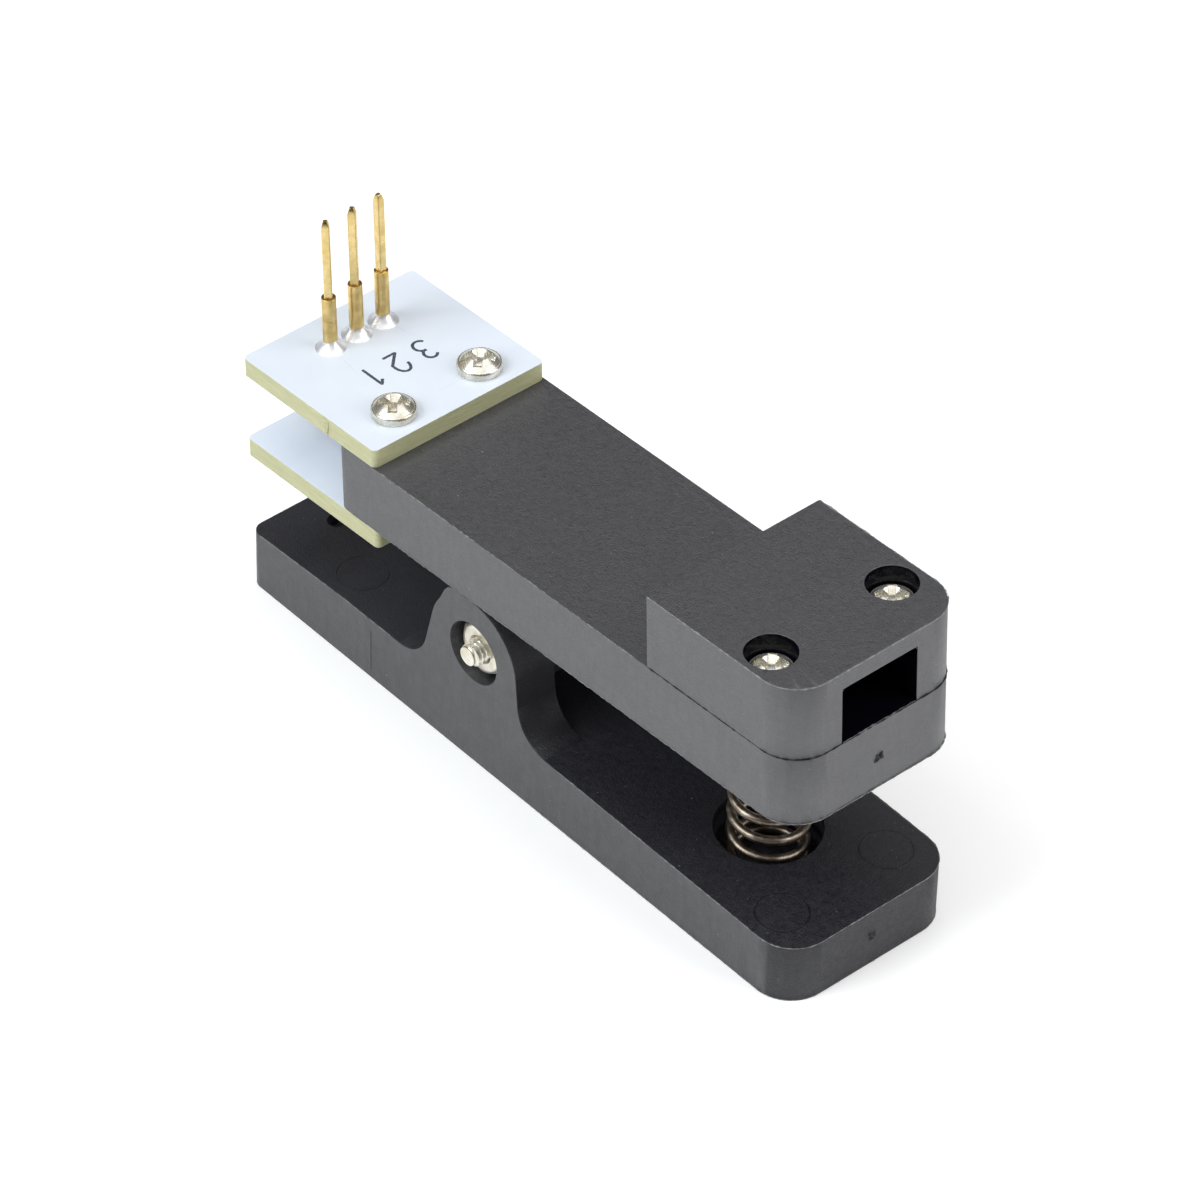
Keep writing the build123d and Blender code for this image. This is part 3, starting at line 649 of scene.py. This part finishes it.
# Circuit boards: two alike, glass-epoxy with white solder mask on both faces, one screwed on the arm's top
# and one under it. Their milled edges show the yellow-green laminate. Each probe hole has a plated ring.
board_thickness = 1.6
board_edge = 0.09
top_board_face = arm_top + board_thickness
lower_board_face = arm_underside - board_thickness
# The last number scales each board's white, set higher on the lower board as painted light for its shade.
boards = {
    "top_board": (arm_top, top_board_face, 0.94),
    "lower_board": (lower_board_face, arm_underside, 1.14),
}
probe_x = -22.95
probe_ys = (-2.54, 0.0, 2.54)
pad_hole = 0.6
pad_radius = 0.95
pad_thickness = 0.035
mask_depth = 0.015


def board_finish(name, underside, top, painted_light_scale):
    """White mask on the two faces and bare laminate between: the height square to the arm picks which.
    The last number scales the white's brightness, as painted light: it is set higher on the lower board,
    which lies in shade."""
    finish = Finish(name, {"IOR": 1.5, "Coat Roughness": 0.2})
    off_middle = abs(finish.along(arm_normal, pivot_height * cos(lean)) - (underside + top) / 2)
    mask_start = (top - underside) / 2 - mask_depth
    mask = finish.rise(off_middle, mask_start - 0.01, mask_start + 0.01)
    cloud = finish.noise(2.5, 3.0)
    weave = finish.noise(0.35, 2.0, (1.0, 1.0, 4.0))
    plies = finish.noise(0.22, 2.0, (0.12, 0.12, 1.0))
    shaded, bright = [(*(painted_light_scale * c for c in tone), 1.0) for tone in ((0.68, 0.74, 0.83), (0.74, 0.79, 0.86))]
    white = finish.mix(cloud, shaded, bright)
    white = finish.mix(0.5 * finish.specks(1.7, 0.05, 0.25), white, (0.45, 0.45, 0.45, 1.0))
    laminate = finish.mix(plies, (0.34, 0.335, 0.16, 1.0), (0.54, 0.535, 0.3, 1.0))
    laminate = finish.mix(0.35 * weave, laminate, (0.66, 0.66, 0.5, 1.0))
    finish.colour(finish.mix(mask, laminate, white))
    finish.roughness(0.62 - 0.3 * mask + 0.1 * weave)
    finish.relief((1.0 - mask) * (0.8 * plies + 0.6 * weave) + 0.12 * cloud * mask, 0.03)
    return finish.material


def annular_pad(x, y, level, up):
    """Points of a plated ring round a hole: a flat collar of pad thickness with eased edges."""
    foot, rim = -0.01, pad_thickness
    flat = [(pad_hole, foot), (pad_hole, rim), (pad_radius, rim), (pad_radius, foot), (pad_hole, foot)]
    points = turned(rounded(flat, 0.02, 3), 48)
    return on_arm(points * (1, 1, up) + (x, y, level))


for name, (underside, top, painted_light_scale) in boards.items():
    dress(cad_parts[name], board_finish(name + "_laminate", underside, top, painted_light_scale))
    soften_edges(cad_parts[name], board_edge, False)

tab_x = -16.6
tab_half_width = 0.4
tab_reach = 0.16


def broken_tab(seed):
    """Points of the stub left where the board was snapped out of its panel: a half round rod up the edge,
    whose radius wanders with the height and the angle."""
    rng = np.random.default_rng(seed)
    heights = np.linspace(arm_top + 0.1, top_board_face - 0.15, 15)
    level, turn = np.meshgrid(heights, np.linspace(0, 2 * pi, 33), indexing="ij")
    waves = rng.uniform(-1, 1, (3, 2))
    wander = sum(a * np.sin(n * turn + 5 * b * level) for n, (a, b) in enumerate(waves, 2))
    closed = np.ones((15, 1))
    closed[0] = closed[-1] = 0
    out = closed * (1 + 0.18 * wander)
    x, y = tab_x + tab_half_width * out * np.cos(turn), -half_width + tab_reach * out * np.sin(turn)
    return on_arm(np.stack([x, y, level], -1))


tab_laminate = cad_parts["top_board"].material_slots[0].material
add_piece("broken_board_tab", [broken_tab(2)], "upper", "board", tab_laminate)
gold_pad = plated_metal("gold_flash", (0.9, 0.68, 0.32, 1.0), (0.8, 0.56, 0.22, 1.0), 0.25, 0.2)
pad_levels = [(top_board_face, 1), (arm_top, -1), (arm_underside, 1), (lower_board_face, -1)]
pads = [annular_pad(probe_x, y, level, up) for level, up in pad_levels for y in probe_ys]
add_piece("probe_pads", pads, "upper", "gold_plate", gold_pad)

# Pin numbers: plain figures 1, 2 and 3 in dark ink beside the probes, so that a lead goes on the right way
# round. The ink is screen printed, a few hundredths thick, with soft edges.
figure_height = 2.35
ink_width = 0.25
ink_thickness = 0.02
figure_x = -19.2


def figure_strokes():
    """Each figure's line, as points from 0 to 1 across and up: a bar with a flag, a hook and two bowls."""
    bow = np.linspace(0, pi, 25)
    two = np.stack([0.5 - 0.42 * np.cos(bow), 0.62 + 0.38 * np.sin(bow)], -1)
    upper = np.linspace(0.85 * pi, -0.5 * pi, 25)
    lower = np.linspace(0.5 * pi, -0.85 * pi, 25)
    return {
        "1": np.array([(0.2, 0.78), (0.52, 1.0), (0.52, 0.0)]),
        "2": np.concatenate([two, [(0.92, 0.5), (0.08, 0.0), (0.95, 0.0)]]),
        "3": np.concatenate(
            [
                np.stack([0.48 + 0.36 * np.cos(upper), 0.76 + 0.24 * np.sin(upper)], -1),
                np.stack([0.48 + 0.42 * np.cos(lower), 0.27 + 0.27 * np.sin(lower)], -1),
            ]
        ),
    }


def inked(stroke, x, y, level):
    """Points of one printed line. It is set with its top towards the handle, on a flat oval section."""
    along, across = figure_height * stroke[:, 1], 0.6 * figure_height * stroke[:, 0]
    even, line, across = evened(np.stack([x + along, y - across, np.full(len(stroke), level)], -1), 90)
    width = ink_width / 2 * (1 + 0.06 * np.sin(17 * even) + 0.04 * np.sin(41 * even))
    return on_arm(tube(line, across, upward, width, ink_thickness))


ink = Finish("dark_ink", {"Roughness": 0.55})
ink_patch = ink.noise(0.12, 3.0)
ink.colour(ink.mix(ink.rise(ink_patch, 0.45, 0.75), (0.035, 0.045, 0.07, 1.0), (0.13, 0.15, 0.19, 1.0)))
ink.relief(ink_patch, 0.01)
strokes = figure_strokes()
middle = 0.3 * figure_height
figures = [inked(strokes[f], figure_x, y + middle, top_board_face) for f, y in zip("123", probe_ys)]
add_piece("pin_numbers", figures, "upper", "board", ink.material)

# Board screws: four of the cover's self-tapping screws, shorter. Two hold the top board from above and two
# the lower board from below.
board_screw_places = ((-13.55, -4.15), (-13.55, 4.15))
board_screw_length = 4.0
top_screws = (board_screw_places, top_board_face, board_screw_length, 1, (0.8, 0.74))
small_screws("cross_head_top_screws", *top_screws, "board_screws_top")
under_screws = (board_screw_places, lower_board_face, board_screw_length, -1, (0.6, 1.1))
small_screws("cross_head_under_screws", *under_screws, "board_screws_bottom")

# Receptacles: three thin gold-plated brass tubes pushed through both boards. Each takes a spring probe from
# below and a square tail post in its upper end. The first has a mark scored round it where it was held.
tube_outer = 0.56
tube_inner = 0.46
tube_bottom = -0.35
tube_top = 17.15
score_height = 15.14
score_depth = 0.03


def probe_shape(outline, y, ease, segments=64):
    """A turned outline carried to a probe's axis."""
    return on_arm(turned(rounded(outline, ease, 4), segments) + (probe_x, y, 0))


def gold_plating(name, bright, dull, roughness):
    """Gold over nickel on drawn brass: soft clouds of tone, lines along the part and rubbed spots."""
    finish = Finish(name, {"Metallic": 1.0})
    cloud = finish.noise(0.8, 3.0)
    drawn = finish.noise(0.05, 2.0, (1.0, 1.0, 0.06))
    spots = finish.rise(finish.noise(0.16, 2.0), 0.6, 0.75)
    finish.colour(finish.mix(finish.rise(cloud, 0.3, 0.7), bright, dull))
    finish.roughness(roughness + 0.1 * cloud + 0.15 * spots)
    finish.relief(0.7 * drawn + 0.3 * spots, 0.006)
    return finish.material


tube_gold = gold_plating("tube_gold", (0.68, 0.51, 0.22, 1.0), (0.54, 0.38, 0.14, 1.0), 0.28)
inside_middle = (tube_inner, tube_bottom + 8.0)
tube_foot = [inside_middle, (tube_inner, tube_bottom), (tube_outer, tube_bottom)]
tube_mouth = [(tube_outer, tube_top), (tube_inner, tube_top), inside_middle]
score = [
    (tube_outer, score_height - 0.04),
    (tube_outer - score_depth, score_height),
    (tube_outer, score_height + 0.04),
]
for number, y in enumerate(probe_ys, 1):
    grid = probe_shape(tube_foot + (score if number == 1 else []) + tube_mouth, y, 0.03)
    node = f"receptacle_{number}"
    add_piece(f"drawn_tube_{number}", [grid], "upper", "gold_plate", tube_gold, replaced=[node])

# Tail posts: square gold-plated wire on a short round plug that is pressed into the tube's upper end, with
# coined tips that taper to a blunt end. Each stands turned as it was pressed in.
post_bottom = 15.65
plug_top = 17.08
plug_radius = 0.455
post_half = 0.32
post_shoulder = 23.6
post_top = 24.15
post_turns = (48.0, 41.0, 4.0)


def square_post(y, turn):
    """Points of a square wire on a probe's axis. A ring's radius at an angle is half the side over the
    tenth root of cos^10 + sin^10, which rounds the corners, and the half side shrinks in the tip. The
    plug's rings at the bottom are round."""
    plug = [post_bottom, post_bottom, plug_top - 0.03, plug_top]
    tip = post_shoulder + (post_top - post_shoulder) * np.array([0.08, 0.5, 0.92, 1.0, 1.0])
    level = np.r_[plug, np.linspace(plug_top, post_shoulder, 24), tip]
    plug_half = [0, plug_radius, plug_radius, plug_radius - 0.03]
    half = np.r_[plug_half, np.full(24, post_half), 0.315, 0.245, 0.18, 0.15, 0]
    angle = np.linspace(0, 2 * pi, 97)
    corner = (np.cos(angle) ** 10 + np.sin(angle) ** 10) ** -0.1
    radius = half[:, None] * np.where(np.arange(len(half))[:, None] < len(plug), 1.0, corner)
    spin = angle + radians(turn)
    points = np.stack([radius * np.cos(spin), radius * np.sin(spin), level[:, None] + 0 * angle], -1)
    return on_arm(points + (probe_x, y, 0))


post_gold = gold_plating("post_gold", (0.75, 0.58, 0.27, 1.0), (0.62, 0.46, 0.18, 1.0), 0.23)
for number, (y, turn) in enumerate(zip(probe_ys, post_turns), 1):
    grid = square_post(y, turn)
    node = f"tail_post_{number}"
    add_piece(f"square_post_{number}", [grid], "upper", "gold_plate", post_gold, replaced=[node])

# Solder joints: a cone of bright solder round each tube on the top board, drawn up the tube by wetting, with
# the small waves and lopsidedness of hand soldering.
solder_radius = 1.24
solder_height = 0.8


def solder_cone(y, seed):
    """Points of a skirt: the radius falls from the pad to the tube as a power curve of the height, and both
    the foot and the top wander with the angle."""
    rng = np.random.default_rng(seed)
    waves = rng.uniform(-1, 1, (3, 2))
    share, turn = np.meshgrid(np.linspace(0, 1, 22), np.linspace(0, 2 * pi, 73), indexing="ij")
    wander = sum(a * np.cos(n * turn) + b * np.sin(n * turn) for n, (a, b) in enumerate(waves, 1))
    foot = solder_radius * (1 + 0.012 * wander) - 0.02
    top = solder_height * (1 + 0.05 * wander) - 0.04
    radius = tube_outer - 0.01 + (foot - tube_outer) * (1 - share) ** 1.35
    radius += 0.012 * np.sin(5 * turn + 3 * share + seed) * share * (1 - share) * 4
    level = top_board_face + top * share
    skirt = np.stack([radius * np.cos(turn), radius * np.sin(turn), level], -1)
    inner = skirt[-1:] * (0.97, 0.97, 1)
    foot_inside = skirt[:1] * (0.44, 0.44, 1)
    return on_arm(np.concatenate([foot_inside, skirt, inner, foot_inside]) + (probe_x, y, 0))


solder = Finish("bright_solder", {"Metallic": 0.65})
solder_cloud = solder.noise(0.5, 3.0)
solder_skin = solder.noise(0.1, 3.0)
solder_tone = solder.rise(solder_cloud, 0.35, 0.7)
solder.colour(solder.mix(solder_tone, (0.92, 0.92, 0.93, 1.0), (0.72, 0.73, 0.75, 1.0)))
solder.roughness(0.24 + 0.2 * solder_cloud + 0.06 * solder_skin)
solder.relief(0.7 * solder_cloud + 0.25 * solder_skin, 0.03)
cones = [solder_cone(y, seed) for y, seed in zip(probe_ys, (4, 9, 21))]
add_piece("wetted_solder", cones, "upper", "solder", solder.material, replaced=["solder_joints"])

# Spring probes: in each tube a barrel, closed at its top and rolled in at its mouth, holds a plunger with a
# spear tip and a fine spring over it. The plungers slide in by 2.65 mm.
barrel_outline = [(0.27, -0.85), (0.43, -0.85), (0.43, 11.65), (0, 11.65), (0, 11.35), (0.33, 11.35)]
barrel_outline += [(0.33, -0.6), (0.27, -0.6), (0.27, -0.85)]
spear = [(0, -4.05), (0.06, -4.0), (0.25, -3.6), (0.25, -3.2), (0.235, -3.15), (0.235, -3.0), (0.25, -2.95)]
plunger_outline = spear + [(0.25, -0.55), (0.31, -0.55), (0.31, 1.05), (0, 1.05)]
probe_spring_floor = 1.07
probe_spring_roof = 11.33
probe_spring_turns = 22.0
probe_spring_closed_rise = 0.1
probe_spring_radius = 0.26
probe_spring_wire = 0.09
probe_spring_first_angle = 0.0
fine_coil = wound(
    probe_spring_turns,
    probe_spring_closed_rise,
    probe_spring_roof - probe_spring_floor,
    probe_spring_radius,
    probe_spring_wire,
    probe_spring_first_angle,
    steps=24,
    sides=6,
)
tip_gold = gold_plating("plunger_gold", (0.92, 0.72, 0.38, 1.0), (0.8, 0.58, 0.26, 1.0), 0.16)
for number, y in enumerate(probe_ys, 1):
    grid = probe_shape(barrel_outline, y, 0.03, 48)
    node = f"probe_barrel_{number}"
    add_piece(f"rolled_barrel_{number}", [grid], "upper", "gold_plate", tube_gold, replaced=[node])
    grid = probe_shape(plunger_outline, y, 0.02, 48)
    body, node = f"plunger_{number}", f"probe_plunger_{number}"
    add_piece(f"spear_plunger_{number}", [grid], body, "gold_plate", tip_gold, replaced=[node])
    grid = on_arm(fine_coil + (probe_x, y, probe_spring_floor))
    node = f"probe_spring_{number}"
    spring = add_piece(f"fine_spring_{number}", [grid], "upper", "spring_steel", wire_steel, replaced=[node])
    anchor = on_arm(np.array([probe_x, y, probe_spring_roof])) * 0.001
    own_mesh(spring)

# Floor, light and camera: a pale table, three soft panels as in a small product studio, and the camera where
# the photograph was taken from.
floor_material = Finish("pale_table", {"Roughness": 0.9, "Specular IOR Level": 0.1, "Emission Strength": 1.0})
table_cloud = floor_material.noise(60.0, 3.0)
floor_material.colour(floor_material.mix(table_cloud, (0.9, 0.9, 0.9, 1.0), (0.92, 0.92, 0.92, 1.0)))
floor_material.shader.inputs["Emission Color"].default_value = (0.2, 0.2, 0.2, 1.0)
table_size, table_drop = 6.0, 2e-5
bpy.ops.mesh.primitive_plane_add(size=table_size, location=(0, 0, -table_drop))
table = bpy.context.object
table.name = "table"
table.data.materials.append(floor_material.material)

world = bpy.data.worlds.new("studio")
bpy.context.scene.world = world
world.use_nodes = True
background = world.node_tree.nodes["Background"]
background.inputs["Color"].default_value = (0.9, 0.85, 0.75, 1.0)
background.inputs["Strength"].default_value = 0.02

clip_middle = (5.0, 0, 10.0)


def soft_panel(name, place, size, power, tint=(1.0, 1.0, 1.0)):
    """A square area light at a place in millimetres, facing the clip's middle."""
    light = bpy.data.lights.new(name, "AREA")
    light.size = size * 0.001
    light.energy = power
    light.color = tint
    lamp = bpy.data.objects.new(name, light)
    bpy.context.scene.collection.objects.link(lamp)
    lamp.location = np.array(place) * 0.001
    lamp.rotation_euler = (Vector(clip_middle) - Vector(place)).to_track_quat("-Z", "Y").to_euler()


soft_panel("overhead_panel", (0, 0, 600), 950, 4.25)
soft_panel("right_panel", (450, 300, 350), 400, 1.8)
soft_panel("near_panel", (-150, -450, 380), 350, 2.6, (0.92, 0.97, 1.0))

azimuth, elevation, roll = radians(48.1591), radians(41.3503), radians(1.5135)
distance = 522.8395
aim, aim_right, aim_up = np.array([8.0, 0.0, pivot_height]), -2.1308, 4.5298
focal_pixels, photo_pixels, sensor_width = 7094.3, 1200.0, 36.0
look = -np.array([cos(elevation) * sin(azimuth), -cos(elevation) * cos(azimuth), sin(elevation)])
level_right = np.array([cos(azimuth), sin(azimuth), 0.0])
above = np.cross(level_right, look)
right = cos(roll) * level_right + sin(roll) * above
upright = -sin(roll) * level_right + cos(roll) * above
eye = aim + aim_right * right + aim_up * upright - distance * look
camera_data = bpy.data.cameras.new("camera")
camera_data.lens = focal_pixels * sensor_width / photo_pixels
camera_data.sensor_width = sensor_width
camera_data.clip_start = 0.01
camera = bpy.data.objects.new("camera", camera_data)
bpy.context.scene.collection.objects.link(camera)
pose = np.eye(4)
pose[:3, :3] = np.stack([right, upright, -look], -1)
pose[:3, 3] = eye * 0.001
camera.matrix_world = Matrix(pose.tolist())
bpy.context.scene.camera = camera
bpy.context.scene.view_settings.view_transform = "Standard"
